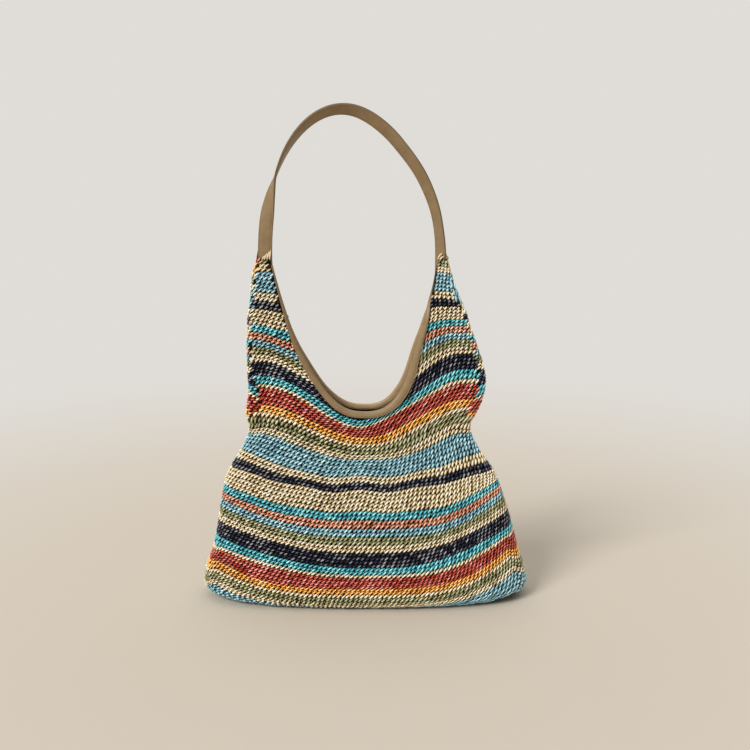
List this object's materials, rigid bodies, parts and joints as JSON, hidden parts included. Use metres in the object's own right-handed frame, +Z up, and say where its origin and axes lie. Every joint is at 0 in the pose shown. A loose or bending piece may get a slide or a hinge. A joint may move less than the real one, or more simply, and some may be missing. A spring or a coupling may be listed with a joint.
{
  "type": "tote bag",
  "caption": "Slouchy striped crochet shoulder tote with a U-shaped mouth between two horns, leather-bound edges and a narrow twisted strap.",
  "frame": {"origin": "under the middle of the base, on the surface the bag stands on", "axes": "+Z up towards the strap, +X to the bag's right as seen from the front, -Y out of the front"},
  "size_m": [0.36, 0.116, 0.5304],
  "materials": {
    "crochet_straw": "striped paper-straw crochet",
    "binding_leather": "folded taupe leather",
    "strap_leather": "folded taupe leather, stitched edge"
  },
  "bodies": {
    "root": {"crochet_body": "crochet_straw", "front_mouth_binding": "binding_leather", "back_mouth_binding": "binding_leather", "shoulder_strap": "strap_leather"}
  },
  "joints": []
}
